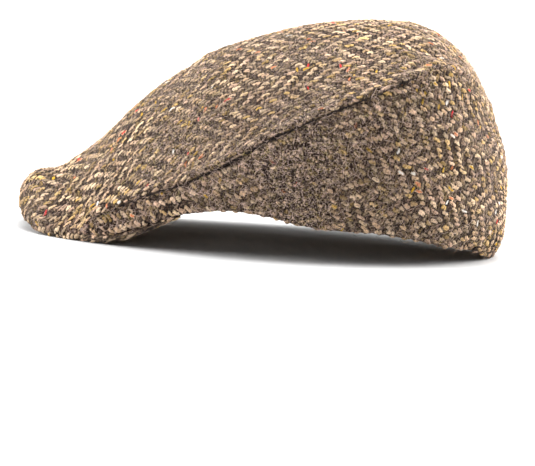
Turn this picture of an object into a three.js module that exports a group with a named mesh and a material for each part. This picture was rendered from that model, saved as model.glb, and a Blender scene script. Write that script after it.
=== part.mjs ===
// Tweed flat cap: a top panel that runs on over a stiff peak, and two side panels, each a hollow shell.
// Units are millimetres. +Z is up, the peak points along -X and the back along +X, and the cap rests on
// the middle of its back hem and on the two lowest corners of the peak.

import * as THREE from 'three';

// Driving dimensions
const FRONT_REACH = 155.5;      // widest place of the cap to the front edge of the peak
const SEAM_BACK_REACH = 103.5;  // widest place to the top seam at the centre of the back
const HEM_BACK_REACH = 113;     // widest place to the hem at the centre of the back
const SEAM_HALF_WIDTH = 90;     // centre plane to the top seam where the cap is widest
const HEM_HALF_WIDTH = 88;      // centre plane to the hem where the cap is widest
const CROWN_HEIGHT = 129;       // resting plane to the highest point of the crown
const SIDE_BULGE = 10.3;        // how far the back swells past a straight line from hem to seam
const WALL = 2.6;               // tweed with its backing
const HEM_FOLD = 1.4;           // extra thickness where the hem is turned in
const SEAM_ROLL = 1.5;          // how far the turned-in edge of the top panel stands proud
const SEAM_ROLL_WIDTH = 7;      // how far from the seam that roll reaches
const PEAK_REACH = 56;          // front edge of the peak to the front of the head opening
const PEAK_THICKNESS = 4.6;     // cloth-covered peak at its edge
const PEAK_HEIGHT = 36.5;       // resting plane to the top of the peak at the head opening
const PEAK_ARCH = 2.2;          // power of the peak's cross-section
const EDGE_SEAT = 5.2;          // flat rim of the peak that the panels above it stand on
const RIDGE_SOFTNESS = 0.25;    // rounding of the crown's centre line, as a share of its half width
const GAP = 0.3;                // clearance between neighbouring pieces
const SEAM_OPENING = 0.9;       // how far each edge at a seam draws back, as a share of GAP

// The plan outline at each height is |x / reach|^2 + |y / halfWidth|^fullness = 1, blunter in front than
// behind. A station's turn is the angle round it, from 0 at the front edge to 180 at the middle of the back.
const FRONT_FULLNESS = 2.6;
const BACK_FULLNESS = 2.05;
const TIP_TURN = 40.5;          // where the side panel's tip starts
const PEAK_END_TURN = 66;       // where the peak's rear corner ends
const WIDEST_TURN = 90;
const BACK_TURN = 180;
const TIP_TAPER = 9;            // turn over which a wall thickens behind the tip or the peak
const TIP_WALL = 0.4;           // share of WALL at the tip
const ROLL_FADE = [105, 150];   // turns between which the seam's roll flattens out towards the back
const HEM_TOP = [0.1, 0.22];    // shares of the side panel's height between which the hem's fold ends
const LEVEL_LIMIT = 0.6;        // flattest wall, as the sine of its slope, that is still cut level

// Heights are shares of CROWN_HEIGHT: low is the lower edge of the whole cap, seam the edge of the top
// panel and crown the centre line. lip is the edge of the peak as a share of PEAK_THICKNESS, arch the
// power of the top panel's cross-section, and swell the share of SIDE_BULGE.
const STATIONS = [
  { turn: 0, low: 0.105, lip: 1, seam: 0.143, crown: 0.143, arch: 2, swell: 0 },
  { turn: 10.3, low: 0.054, lip: 1, seam: 0.092, crown: 0.193, arch: 2.3, swell: 0 },
  { turn: 16.6, low: 0.029, lip: 1, seam: 0.067, crown: 0.228, arch: 2.3, swell: 0 },
  { turn: 22.2, low: 0.013, lip: 1, seam: 0.051, crown: 0.245, arch: 2.3, swell: 0 },
  { turn: 30.5, low: 0, lip: 1, seam: 0.038, crown: 0.262, arch: 2.2, swell: 0 },
  { turn: 36.5, low: 0, lip: 1, seam: 0.038, crown: 0.309, arch: 2.1, swell: 0 },
  { turn: 40, low: 0, lip: 1, seam: 0.045, crown: 0.345, arch: 2, swell: 0 },
  { turn: 43.5, low: 0.002, lip: 1, seam: 0.102, crown: 0.388, arch: 1.9, swell: 0 },
  { turn: 47, low: 0.009, lip: 0.95, seam: 0.13, crown: 0.442, arch: 1.8, swell: 0 },
  { turn: 51.9, low: 0.033, lip: 0.8, seam: 0.178, crown: 0.533, arch: 1.7, swell: 0.02 },
  { turn: 59, low: 0.089, lip: 0.6, seam: 0.24, crown: 0.651, arch: 1.6, swell: 0.06 },
  { turn: 66, low: 0.147, lip: 0.28, seam: 0.295, crown: 0.75, arch: 1.6, swell: 0.12 },
  { turn: 69.7, low: 0.171, lip: 0, seam: 0.336, crown: 0.804, arch: 1.6, swell: 0.18 },
  { turn: 77, low: 0.192, lip: 0, seam: 0.424, crown: 0.869, arch: 1.6, swell: 0.28 },
  { turn: 84, low: 0.182, lip: 0, seam: 0.527, crown: 0.919, arch: 1.6, swell: 0.36 },
  { turn: 90, low: 0.159, lip: 0, seam: 0.592, crown: 0.956, arch: 1.6, swell: 0.42 },
  { turn: 100.6, low: 0.14, lip: 0, seam: 0.668, crown: 0.983, arch: 1.7, swell: 0.5 },
  { turn: 111.9, low: 0.136, lip: 0, seam: 0.738, crown: 0.998, arch: 1.8, swell: 0.58 },
  { turn: 122.1, low: 0.119, lip: 0, seam: 0.8, crown: 1, arch: 1.9, swell: 0.66 },
  { turn: 132.4, low: 0.093, lip: 0, seam: 0.846, crown: 0.971, arch: 2, swell: 0.76 },
  { turn: 137, low: 0.08, lip: 0, seam: 0.858, crown: 0.948, arch: 2, swell: 0.82 },
  { turn: 149.5, low: 0.06, lip: 0, seam: 0.822, crown: 0.868, arch: 2, swell: 0.95 },
  { turn: 159, low: 0.036, lip: 0, seam: 0.77, crown: 0.79, arch: 2, swell: 1 },
  { turn: 168, low: 0.012, lip: 0, seam: 0.722, crown: 0.73, arch: 2, swell: 1 },
  { turn: 171, low: 0, lip: 0, seam: 0.713, crown: 0.718, arch: 2, swell: 1 },
  { turn: 180, low: 0, lip: 0, seam: 0.7, crown: 0.7, arch: 2, swell: 1 },
];

// The side panel's profile: up is the share of its height, out the share of the station's swell.
const SIDE_PROFILE = [
  { up: 0, out: 0 },
  { up: 0.05, out: 0.31 },
  { up: 0.15, out: 0.72 },
  { up: 0.33, out: 0.89 },
  { up: 0.5, out: 1 },
  { up: 0.64, out: 0.92 },
  { up: 0.84, out: 0.47 },
  { up: 0.94, out: 0.25 },
  { up: 1, out: 0 },
];

// The peak's centre line: back is the share of its reach behind the flat rim, rise the share of the way
// up from the rim to PEAK_HEIGHT.
const PEAK_RIDGE = [
  { back: 0, rise: 0 },
  { back: 0.08, rise: 0.3 },
  { back: 0.2, rise: 0.48 },
  { back: 0.4, rise: 0.64 },
  { back: 0.7, rise: 0.84 },
  { back: 1, rise: 1 },
];

// Shallow hollows pressed into the top panel, on both sides: turn and across place the middle, reach is
// half its length round the outline in degrees, spread half its width across, depth a share of WALL.
const TOP_DENTS = [
  { turn: 28, across: 0, reach: 4, spread: 0.5, depth: 0.25 },
  { turn: 131, across: 0.72, reach: 6, spread: 0.16, depth: 0.6 },
  { turn: 142, across: 0.5, reach: 7, spread: 0.2, depth: 0.4 },
];

const DENT_EDGE_POWER = 8;      // keeps the hollows away from the seam

// Mesh fineness
const FRONT_ROWS = 15;
const PEAK_SIDE_ROWS = 10;
const BACK_ROWS = 27;
const TOP_COLUMNS = 20;
const SIDE_COLUMNS = 8;
const PEAK_COLUMNS = 7;
const EDGE_CROWDING = 0.4;      // how much closer together a panel's columns lie at its edges
const PROBE = 0.002;            // share of a skin's range over which its normal is measured
const NEARLY = 0.96;            // share of the way across a panel that gives the direction to its seam

const CLOTH = { color: 0x8a7765, roughness: 0.95, metalness: 0 };
const CLOTH_DARK = { color: 0x6f5f50, roughness: 0.95, metalness: 0 };

// Smooth value of one column at a place, with slopes that never overshoot the rows.
function columnAt(rows, key, column, place) {
  const last = rows.length - 1;
  let i = 0;
  while (i < last - 1 && place > rows[i + 1][key]) {
    i += 1;
  }
  const step = (k) => rows[k + 1][key] - rows[k][key];
  const rate = (k) => (rows[k + 1][column] - rows[k][column]) / step(k);
  const slope = (k) => {
    if (k === 0) {
      return rate(0);
    }
    if (k === last) {
      return rate(last - 1);
    }
    const before = rate(k - 1);
    const after = rate(k);
    return before * after <= 0 ? 0 : (2 * before * after) / (before + after);
  };
  const s = THREE.MathUtils.clamp((place - rows[i][key]) / step(i), 0, 1);
  const s2 = s * s;
  const s3 = s2 * s;
  return (2 * s3 - 3 * s2 + 1) * rows[i][column] + (s3 - 2 * s2 + s) * step(i) * slope(i)
    + (3 * s2 - 2 * s3) * rows[i + 1][column] + (s3 - s2) * step(i) * slope(i + 1);
}

const station = (column, turn) => columnAt(STATIONS, 'turn', column, turn);
const height = (column, turn) => CROWN_HEIGHT * station(column, turn);
const radians = THREE.MathUtils.degToRad;

// Plan point of an outline with the given reach and half width, at a turn.
function planPoint(turn, frontReach, backReach, halfWidth) {
  const c = Math.cos(radians(turn));
  const s = Math.abs(Math.sin(radians(turn)));
  const x = c > 0 ? -frontReach * c : -backReach * c;
  const fullness = c > 0 ? FRONT_FULLNESS : BACK_FULLNESS;
  return new THREE.Vector2(x, halfWidth * Math.pow(s, 2 / fullness));
}

// Turn at which the front half of an outline passes a given x.
function turnAt(x, frontReach) {
  return THREE.MathUtils.radToDeg(Math.acos(THREE.MathUtils.clamp(-x / frontReach, -1, 1)));
}

// Half width changes from the peak's edge, which seam and hem share, to the seam's own behind it.
function halfWidthAt(turn, ownHalfWidth) {
  const s = THREE.MathUtils.smoothstep(turn, TIP_TURN, WIDEST_TURN);
  return THREE.MathUtils.lerp(HEM_HALF_WIDTH, ownHalfWidth, s);
}

function hemPlan(turn) {
  return planPoint(turn, FRONT_REACH, HEM_BACK_REACH, HEM_HALF_WIDTH);
}

function seamPlan(turn) {
  return planPoint(turn, FRONT_REACH, SEAM_BACK_REACH, halfWidthAt(turn, SEAM_HALF_WIDTH));
}

const lipAt = (turn) => PEAK_THICKNESS * station('lip', turn);

// Top of the peak's flat rim, on which the panels above it stand.
const rimHeight = (turn) => height('low', turn) + lipAt(turn);

// Lower edge of the panels: over the peak they stand on its rim, behind it they are the hem.
function panelFoot(turn) {
  const gap = GAP * (1 - THREE.MathUtils.smoothstep(turn, PEAK_END_TURN, WIDEST_TURN));
  return rimHeight(turn) + gap;
}

// The seam stands a wall above the foot of the side panel, and on the peak's rim ahead of its tip.
function seamHeight(turn) {
  const own = height('seam', turn);
  return turn < TIP_TURN ? Math.max(own, panelFoot(turn)) : Math.max(own, panelFoot(turn) + WALL);
}

// Cross-section of the top panel: 0 at the centre line, 1 at the seam.
function archShare(across, power) {
  const soft = RIDGE_SOFTNESS * RIDGE_SOFTNESS;
  const raised = (t) => Math.pow(t * t + soft, power / 2);
  return (raised(across) - raised(0)) / (raised(1) - raised(0));
}

function dentDepth(turn, across) {
  let depth = 0;
  for (const dent of TOP_DENTS) {
    const along = (turn - dent.turn) / dent.reach;
    const aside = (Math.abs(across) - dent.across) / dent.spread;
    depth += WALL * dent.depth * Math.exp(-along * along - aside * aside);
  }
  return depth;
}

// Outer surface of the top panel: across runs from -1 at one seam to 1 at the other.
function topSkin(turn, across) {
  const edge = seamPlan(turn);
  const seam = seamHeight(turn);
  const crown = Math.max(height('crown', turn), seam);
  const drop = (crown - seam) * archShare(across, station('arch', turn));
  const z = crown - drop - dentDepth(turn, across) * (1 - Math.pow(across, DENT_EDGE_POWER));
  return new THREE.Vector3(edge.x, edge.y * across, z);
}

// Outer surface of a side panel on the +Y side: up runs from 0 at its foot to 1 at the seam.
function sideSkin(turn, up) {
  const foot = hemPlan(turn);
  const seam = seamPlan(turn);
  const flat = foot.clone().lerp(seam, up);
  const ahead = Math.min(turn + 1, BACK_TURN);
  const along = hemPlan(ahead).sub(hemPlan(ahead - 2));
  const outward = new THREE.Vector2(-along.y, along.x).normalize();
  const swell = SIDE_BULGE * station('swell', turn) * columnAt(SIDE_PROFILE, 'up', 'out', up);
  const z = THREE.MathUtils.lerp(panelFoot(turn), seamHeight(turn), up);
  const y = flat.y + outward.y * swell;
  return new THREE.Vector3(flat.x + outward.x * swell, y, z);
}

// Unit normal of a skin at a place, from its neighbours, pointing to the given side.
function skinNormal(skin, a, b, range, side) {
  const da = (range.a[1] - range.a[0]) * PROBE;
  const db = (range.b[1] - range.b[0]) * PROBE;
  const a0 = Math.max(a - da, range.a[0]);
  const a1 = Math.min(a + da, range.a[1]);
  const b0 = Math.max(b - db, range.b[0]);
  const b1 = Math.min(b + db, range.b[1]);
  const alongA = skin(a1, b).sub(skin(a0, b));
  const alongB = skin(a, b1).sub(skin(a, b0));
  return alongA.cross(alongB).multiplyScalar(side).normalize();
}

// Places at which the skins' normals are measured, just short of the points where a skin closes.
const TOP_RANGE = { a: [1, BACK_TURN - 1], b: [-1, 1] };
const SIDE_RANGE = { a: [TIP_TURN, BACK_TURN - 1], b: [0, 1] };

function topNormal(turn, across) {
  const a = THREE.MathUtils.clamp(turn, ...TOP_RANGE.a);
  return skinNormal(topSkin, a, across, TOP_RANGE, 1);
}

function sideNormal(turn, up) {
  const a = THREE.MathUtils.clamp(turn, ...SIDE_RANGE.a);
  const normal = skinNormal(sideSkin, a, up, SIDE_RANGE, -1);
  if (turn > SIDE_RANGE.a[1]) {
    normal.y = 0;
    normal.normalize();
  }
  return normal;
}

// Step from the outer to the inner corner of a wall that ends on a level face.
function levelStep(normal, thickness) {
  const flat = new THREE.Vector3(normal.x, normal.y, 0);
  const share = Math.max(flat.length(), LEVEL_LIMIT);
  return flat.normalize().multiplyScalar(thickness / share);
}

// Step from the outer to the inner corner of two walls that meet at a seam.
function mitreStep(first, second, thickness) {
  const sum = first.clone().add(second);
  return sum.multiplyScalar(thickness / (1 + Math.max(first.dot(second), 0)));
}

// Inner corner of the seam on the +Y side.
function seamStep(turn) {
  const top = topNormal(turn, 1);
  if (turn < TIP_TURN) {
    return levelStep(top, WALL);
  }
  return mitreStep(top, sideNormal(turn, 1), WALL);
}

// Closed geometry from two grids of points: outer faces out, inner is behind it, and rims close them.
function shellGeometry(outer, inner, flip) {
  const positions = [];
  const index = [];
  const known = new Map();
  const vertex = (p) => {
    const key = [p.x, p.y, p.z].map((v) => Math.round(v * 1000)).join(' ');
    if (!known.has(key)) {
      known.set(key, positions.length / 3);
      positions.push(p.x, p.y, p.z);
    }
    return known.get(key);
  };
  const triangle = (a, b, c) => {
    if (a !== b && b !== c && c !== a) {
      index.push(...(flip ? [a, c, b] : [a, b, c]));
    }
  };
  const quad = (p, q, r, s) => {
    const [a, b, c, d] = [p, q, r, s].map(vertex);
    if (p.distanceTo(r) <= q.distanceTo(s)) {
      triangle(a, b, c);
      triangle(a, c, d);
    } else {
      triangle(a, b, d);
      triangle(b, c, d);
    }
  };
  const rows = outer.length - 1;
  const columns = outer[0].length - 1;
  for (let i = 0; i < rows; i += 1) {
    for (let j = 0; j < columns; j += 1) {
      quad(outer[i][j], outer[i + 1][j], outer[i + 1][j + 1], outer[i][j + 1]);
      quad(inner[i][j], inner[i][j + 1], inner[i + 1][j + 1], inner[i + 1][j]);
    }
    quad(outer[i][0], inner[i][0], inner[i + 1][0], outer[i + 1][0]);
    quad(outer[i][columns], outer[i + 1][columns], inner[i + 1][columns], inner[i][columns]);
  }
  for (let j = 0; j < columns; j += 1) {
    quad(outer[0][j], outer[0][j + 1], inner[0][j + 1], inner[0][j]);
    quad(outer[rows][j], inner[rows][j], inner[rows][j + 1], outer[rows][j + 1]);
  }
  const geometry = new THREE.BufferGeometry();
  geometry.setAttribute('position', new THREE.Float32BufferAttribute(positions, 3));
  geometry.setIndex(index);
  geometry.computeVertexNormals();
  return geometry;
}

// Turns of the rows after the first, evenly spaced up to the last one.
function turnsAfter(from, to, count) {
  return Array.from({ length: count }, (_, i) => THREE.MathUtils.lerp(from, to, (i + 1) / count));
}

// Neighbouring pieces share these rows, so that their edges follow each other.
const ROW_TURNS = [
  0,
  ...turnsAfter(0, TIP_TURN, FRONT_ROWS),
  ...turnsAfter(TIP_TURN, PEAK_END_TURN, PEAK_SIDE_ROWS),
  ...turnsAfter(PEAK_END_TURN, BACK_TURN, BACK_ROWS),
];

function buildCrownTop() {
  const outer = [];
  const inner = [];
  for (const turn of ROW_TURNS) {
    const outerRow = [];
    const innerRow = [];
    const halfSpan = Math.max(seamPlan(turn).y, WALL);
    for (let j = 0; j <= TOP_COLUMNS; j += 1) {
      const s = (2 * j) / TOP_COLUMNS - 1;
      const across = THREE.MathUtils.lerp(s, Math.sin((Math.PI / 2) * s), EDGE_CROWDING);
      const side = Math.sign(across) || 1;
      const skin = topSkin(turn, across);
      const normal = topNormal(turn, across);
      const fromSeam = (1 - Math.abs(across)) * halfSpan;
      const roll = turn > TIP_TURN ? Math.sin(Math.PI * Math.min(fromSeam / SEAM_ROLL_WIDTH, 1)) : 0;
      const room = 1 - THREE.MathUtils.smoothstep(turn, ...ROLL_FADE);
      const outerPoint = skin.clone().addScaledVector(normal, SEAM_ROLL * roll * room);
      const innerPoint = skin.clone().addScaledVector(normal, -WALL);
      const pointed = turn === 0 || turn === BACK_TURN;
      if (pointed || j === 0 || j === TOP_COLUMNS) {
        const step = seamStep(turn);
        step.y *= pointed ? 0 : side;
        outerPoint.copy(skin);
        innerPoint.copy(skin).sub(step);
        if (turn > TIP_TURN) {
          const within = pointed ? topSkin(turn * NEARLY, 0) : topSkin(turn, side * NEARLY);
          const inward = within.sub(skin).normalize().multiplyScalar(SEAM_OPENING * GAP);
          outerPoint.add(inward);
          innerPoint.add(inward);
        }
      }
      outerRow.push(outerPoint);
      innerRow.push(innerPoint);
    }
    outer.push(outerRow);
    inner.push(innerRow);
  }
  return shellGeometry(outer, inner, false);
}

function buildSidePanel(side) {
  const outer = [];
  const inner = [];
  const mirrored = (p) => new THREE.Vector3(p.x, p.y * side, p.z);
  for (const turn of ROW_TURNS.slice(FRONT_ROWS)) {
    const outerRow = [];
    const innerRow = [];
    const hemmed = THREE.MathUtils.smoothstep(turn, PEAK_END_TURN, PEAK_END_TURN + TIP_TAPER);
    const full = THREE.MathUtils.smoothstep(turn, TIP_TURN, TIP_TURN + TIP_TAPER);
    const wall = WALL * THREE.MathUtils.lerp(TIP_WALL, 1, full);
    for (let j = 0; j <= SIDE_COLUMNS; j += 1) {
      const s = j / SIDE_COLUMNS;
      const up = THREE.MathUtils.lerp(s, s * s, EDGE_CROWDING);
      const skin = sideSkin(turn, up);
      const normal = sideNormal(turn, up);
      const fold = HEM_FOLD * hemmed * (1 - THREE.MathUtils.smoothstep(up, ...HEM_TOP));
      const innerPoint = skin.clone().addScaledVector(normal, -(wall + fold));
      if (j === 0) {
        innerPoint.copy(skin).sub(levelStep(normal, wall + fold));
      }
      if (j === SIDE_COLUMNS) {
        const down = sideSkin(turn, NEARLY).sub(skin).normalize().multiplyScalar(SEAM_OPENING * GAP);
        innerPoint.copy(skin).addScaledVector(seamStep(turn), -wall / WALL).add(down);
        skin.add(down);
      }
      if (turn === BACK_TURN) {
        skin.y = GAP / 2;
        innerPoint.y = GAP / 2;
      }
      outerRow.push(mirrored(skin));
      innerRow.push(mirrored(innerPoint));
    }
    outer.push(outerRow);
    inner.push(innerRow);
  }
  return shellGeometry(outer, inner, side > 0);
}

// Top surface of the peak behind its flat rim, as a height over the plan.
function peakHeight(x, y) {
  const turn = turnAt(x, FRONT_REACH - EDGE_SEAT);
  const edge = planPoint(turn, FRONT_REACH - EDGE_SEAT, HEM_BACK_REACH, HEM_HALF_WIDTH - EDGE_SEAT);
  const rim = rimHeight(turn);
  const back = (x + FRONT_REACH - EDGE_SEAT) / (PEAK_REACH - EDGE_SEAT);
  const low = rimHeight(0);
  const ridge = low + (PEAK_HEIGHT - low) * columnAt(PEAK_RIDGE, 'back', 'rise', Math.max(back, 0));
  return ridge - (ridge - rim) * archShare(Math.min(Math.abs(y) / Math.max(edge.y, WALL), 1), PEAK_ARCH);
}

function buildPeak() {
  const upper = [];
  const lower = [];
  const rearCorner = hemPlan(PEAK_END_TURN);
  const rearWidth = rearCorner.y - 2 * EDGE_SEAT;
  const rearFront = PEAK_REACH - FRONT_REACH;
  const lastRow = FRONT_ROWS + PEAK_SIDE_ROWS;
  for (let i = -lastRow; i <= lastRow; i += 1) {
    const side = i < 0 ? -1 : 1;
    const turn = ROW_TURNS[Math.abs(i)];
    const edge = hemPlan(turn);
    const seat = planPoint(turn, FRONT_REACH - EDGE_SEAT, HEM_BACK_REACH, HEM_HALF_WIDTH - EDGE_SEAT);
    const aside = turn / PEAK_END_TURN;
    const rear = new THREE.Vector2(
      THREE.MathUtils.lerp(rearFront, rearCorner.x, aside * aside),
      rearWidth * aside,
    );
    const upperRow = [];
    const lowerRow = [];
    for (let j = 0; j <= PEAK_COLUMNS; j += 1) {
      const rim = j < 2;
      const w = rim ? 0 : (j - 1) / (PEAK_COLUMNS - 1);
      const plan = j === 0 ? edge.clone() : seat.clone().lerp(rear, w);
      const top = rim ? rimHeight(turn) : peakHeight(plan.x, plan.y);
      const thickness = lipAt(turn);
      upperRow.push(new THREE.Vector3(plan.x, plan.y * side, top));
      lowerRow.push(new THREE.Vector3(plan.x, plan.y * side, top - thickness));
    }
    upper.push(upperRow);
    lower.push(lowerRow);
  }
  return shellGeometry(upper, lower, true);
}

function piece(name, geometry, finish) {
  const mesh = new THREE.Mesh(geometry, new THREE.MeshStandardMaterial(finish));
  mesh.name = name;
  return mesh;
}

const cap = new THREE.Group();
cap.add(piece('crown_top', buildCrownTop(), CLOTH));
cap.add(piece('side_panel_left', buildSidePanel(-1), CLOTH));
cap.add(piece('side_panel_right', buildSidePanel(1), CLOTH));
cap.add(piece('peak', buildPeak(), CLOTH_DARK));

// The origin is the middle of the cap's box, on the resting plane.
const middle = new THREE.Box3().setFromObject(cap).getCenter(new THREE.Vector3());
for (const mesh of cap.children) {
  mesh.geometry.translate(-middle.x, 0, 0);
}

export default cap;
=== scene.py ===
"""Tweed flat cap: the cloth of its top panel, side panels and peak, on the frame of its solids.

Run as a script it builds every piece, the floor, the lights and the camera. Lengths are metres, as in
the frame: the peak points along -X, the back along +X, and the cap rests at z = 0.
"""

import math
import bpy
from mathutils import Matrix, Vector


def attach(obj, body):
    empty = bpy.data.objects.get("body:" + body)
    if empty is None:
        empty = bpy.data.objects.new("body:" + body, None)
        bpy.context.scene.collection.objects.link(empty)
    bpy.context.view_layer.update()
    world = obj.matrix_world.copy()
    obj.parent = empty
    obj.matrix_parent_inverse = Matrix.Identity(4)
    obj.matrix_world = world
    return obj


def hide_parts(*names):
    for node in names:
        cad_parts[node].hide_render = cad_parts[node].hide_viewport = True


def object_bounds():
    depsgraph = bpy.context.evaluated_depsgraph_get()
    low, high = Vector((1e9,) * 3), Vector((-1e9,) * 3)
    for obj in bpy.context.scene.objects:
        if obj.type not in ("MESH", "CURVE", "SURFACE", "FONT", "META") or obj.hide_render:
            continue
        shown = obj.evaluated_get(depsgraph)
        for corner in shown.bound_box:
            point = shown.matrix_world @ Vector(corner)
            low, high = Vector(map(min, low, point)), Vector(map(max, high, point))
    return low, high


bl_info = {
    "name": "Tweed Cap",
    "version": (1, 0, 0),
    "blender": (4, 5, 0),
    "location": "3D View > Sidebar > Tweed Cap",
    "description": "Builds a flat cap of herringbone tweed with its woven relief, fibres and studio",
    "category": "Object",
}

import bmesh
import bpy
import numpy as np
from mathutils import Matrix, Vector, noise

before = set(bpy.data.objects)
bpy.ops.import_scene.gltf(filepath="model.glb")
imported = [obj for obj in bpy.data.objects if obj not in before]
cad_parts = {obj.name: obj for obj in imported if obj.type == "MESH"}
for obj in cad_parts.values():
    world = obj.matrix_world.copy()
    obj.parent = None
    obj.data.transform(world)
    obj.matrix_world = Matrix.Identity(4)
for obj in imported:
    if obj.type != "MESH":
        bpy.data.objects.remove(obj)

MM = 0.001
TINY = 1e-9                     # keeps a divisor above 0
CAD_LOW, CAD_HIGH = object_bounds()

# Shares of the cap's box from which the cut of its panels follows
WIDEST_SHARE = 0.5663           # front edge to the widest place, of the length
SEAM_BACK_SHARE = 0.3769        # widest place to the seam at the back, of the length
HEM_BACK_SHARE = 0.4115         # widest place to the hem at the back, of the length
SEAM_WIDE_SHARE = 0.963         # widest place of the top seam, of the width
HEM_WIDE_SHARE = 0.9417         # widest place of the hem, of the width
BULGE_SHARE = 0.0375            # how far the back swells past a straight line, of the length
FRONT_FULLNESS = 2.6            # powers of the plan outline
BACK_FULLNESS = 2.05
TIP_TURN = 40.5                 # turns round the outline, from 0 at the front to 180 at the back
PEAK_END_TURN = 66.0
WIDEST_TURN = 90.0
BACK_TURN = 180.0
RIDGE_SOFTNESS = 0.25
PEAK_ARCH = 2.2                 # power of the peak's curve from side to side
DENT_EDGE_POWER = 8
ROLL_FADE = (123, 136)          # turns between which the seam's roll flattens out
WRAP_FADE = (37, 44)            # turns between which the top cloth stops wrapping the peak's edge

# Herringbone twill: two threads over and two under, turning back after each column of threads
COLUMN_THREADS = 6
REPEAT = 4
FLOAT = 2                       # threads that a yarn passes over
WEFT_HEIGHT = 0.45              # how high the weft's floats stand beside the warp's
FLOAT_POWER = 0.7               # power of a float's rise and fall along the yarn
WALE_START = 1.5                # threads from a repeat's start to the top of its ridge
LUMP_SIZE = 1.9 * MM
LUMP_SEED = 3.7
NEAR_SWAY = 5.5 * MM            # distances over which the yarns stray
FAR_SWAY = 30 * MM
SWAY_SEED = 5                   # without it the yarns would stray another way at each run
VIEW_TILT = math.radians(7)     # the angle that the creases are drawn at
CREASE_FADE = (12 * MM, 30 * MM)    # distances from the middle of the cap between which they start
CLOTH_MAP = "cloth"
SEAM_SHADE_ATTRIBUTE = "sunk"                   # share of painted shade down in a seam, from 0 to 1
SEAM_TAIL = 0.4                 # how much of the seam's shade stays at the back
CLOTH_START = 600               # keeps the places on the cloth, in threads, above 0

# Sections round the outline: heights as shares of the cap's height, lip as a share of the peak's edge,
# power of the crown's arch, and share of the bulge
STATION_COLUMNS = ("turn", "low", "lip", "seam", "crown", "arch", "swell")
STATIONS = (
    (0, 0.105, 1, 0.143, 0.143, 2, 0),
    (10.3, 0.054, 1, 0.092, 0.193, 2.3, 0),
    (16.6, 0.029, 1, 0.067, 0.228, 2.3, 0),
    (22.2, 0.013, 1, 0.051, 0.245, 2.3, 0),
    (30.5, 0, 1, 0.038, 0.262, 2.2, 0),
    (36.5, 0, 1, 0.038, 0.309, 2.1, 0),
    (40, 0, 1, 0.045, 0.345, 2, 0),
    (43.5, 0.002, 1, 0.102, 0.388, 1.9, 0),
    (47, 0.009, 0.95, 0.13, 0.442, 1.8, 0),
    (51.9, 0.033, 0.8, 0.178, 0.533, 1.7, 0.02),
    (59, 0.089, 0.6, 0.24, 0.651, 1.6, 0.06),
    (66, 0.147, 0.28, 0.295, 0.75, 1.6, 0.12),
    (69.7, 0.171, 0, 0.336, 0.804, 1.6, 0.18),
    (77, 0.192, 0, 0.424, 0.869, 1.6, 0.28),
    (84, 0.182, 0, 0.527, 0.919, 1.6, 0.36),
    (90, 0.159, 0, 0.592, 0.956, 1.6, 0.42),
    (100.6, 0.14, 0, 0.668, 0.983, 1.7, 0.5),
    (111.9, 0.136, 0, 0.738, 0.998, 1.8, 0.58),
    (122.1, 0.119, 0, 0.8, 1, 1.9, 0.66),
    (132.4, 0.093, 0, 0.846, 0.971, 2, 0.76),
    (137, 0.08, 0, 0.858, 0.948, 2, 0.82),
    (149.5, 0.06, 0, 0.822, 0.868, 2, 0.95),
    (159, 0.036, 0, 0.77, 0.79, 2, 1),
    (168, 0.012, 0, 0.722, 0.73, 2, 1),
    (171, 0, 0, 0.713, 0.718, 2, 1),
    (180, 0, 0, 0.7, 0.7, 2, 1),
)

# Side panel's profile: share of its height, share of the swell
PROFILE_COLUMNS = ("up", "out")
SIDE_PROFILE = (
    (0, 0), (0.05, 0.31), (0.15, 0.72), (0.33, 0.89), (0.5, 1), (0.64, 0.92),
    (0.84, 0.47), (0.94, 0.25), (1, 0),
)

# Peak's centre line: share of its reach behind the rim, share of its rise
RIDGE_COLUMNS = ("back", "rise")
PEAK_RIDGE = ((0, 0), (0.08, 0.3), (0.2, 0.48), (0.4, 0.64), (0.7, 0.84), (1, 1))

# Hollows (positive) and folds (negative) of the top panel: turn, across, reach in turns, spread, depth
TOP_DENTS = (
    (28, 0, 4, 0.5, 0.65 * MM),
    (131, 0.72, 6, 0.16, 1.6 * MM),
    (142, 0.5, 7, 0.2, 1.0 * MM),
)

# Creases as seen from the side: two ends as back and up, half width and height (hollows negative), in mm
CREASES = (
    (63.2, 109.9, 90.3, 106.9, 2.3, 0.9),
    (90.3, 106.9, 107.0, 100.7, 2.3, 0.9),
    (107.0, 100.7, 120.7, 94.8, 2.6, 0.5),
    (73.0, 116.9, 89.5, 109.6, 2.8, -1.2),
    (89.5, 109.6, 97.0, 106.8, 2.2, -1.0),
    (76.6, 119.4, 92.4, 116.4, 2.6, 0.7),
    (92.4, 116.4, 106.4, 108.5, 2.6, 0.7),
    (76.3, 101.3, 82.4, 102.2, 1.8, -1.0),
    (92.6, 94.1, 99.5, 98.6, 1.9, -1.1),
    (82.5, 96.3, 89.3, 102.5, 1.7, 0.8),
    (-92.5, 3.8, -77.4, 8.2, 1.3, -1.1),
    (-92.5, 6.4, -78.4, 10.8, 1.1, 0.6),
    (-91.5, 1.2, -76.4, 5.6, 1.1, 0.6),
)


def srgb(red, green, blue):
    """Linear colour of a shade given as it is seen, from 0 to 255."""
    def linear(value):
        share = value / 255
        return share / 12.92 if share <= 0.04045 else ((share + 0.055) / 1.055) ** 2.4
    return (linear(red), linear(green), linear(blue))


def smoothstep(value, low, high):
    share = np.clip((value - low) / (high - low), 0, 1)
    return share * share * (3 - 2 * share)


def mix(first, second, share):
    return first + (second - first) * share


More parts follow.
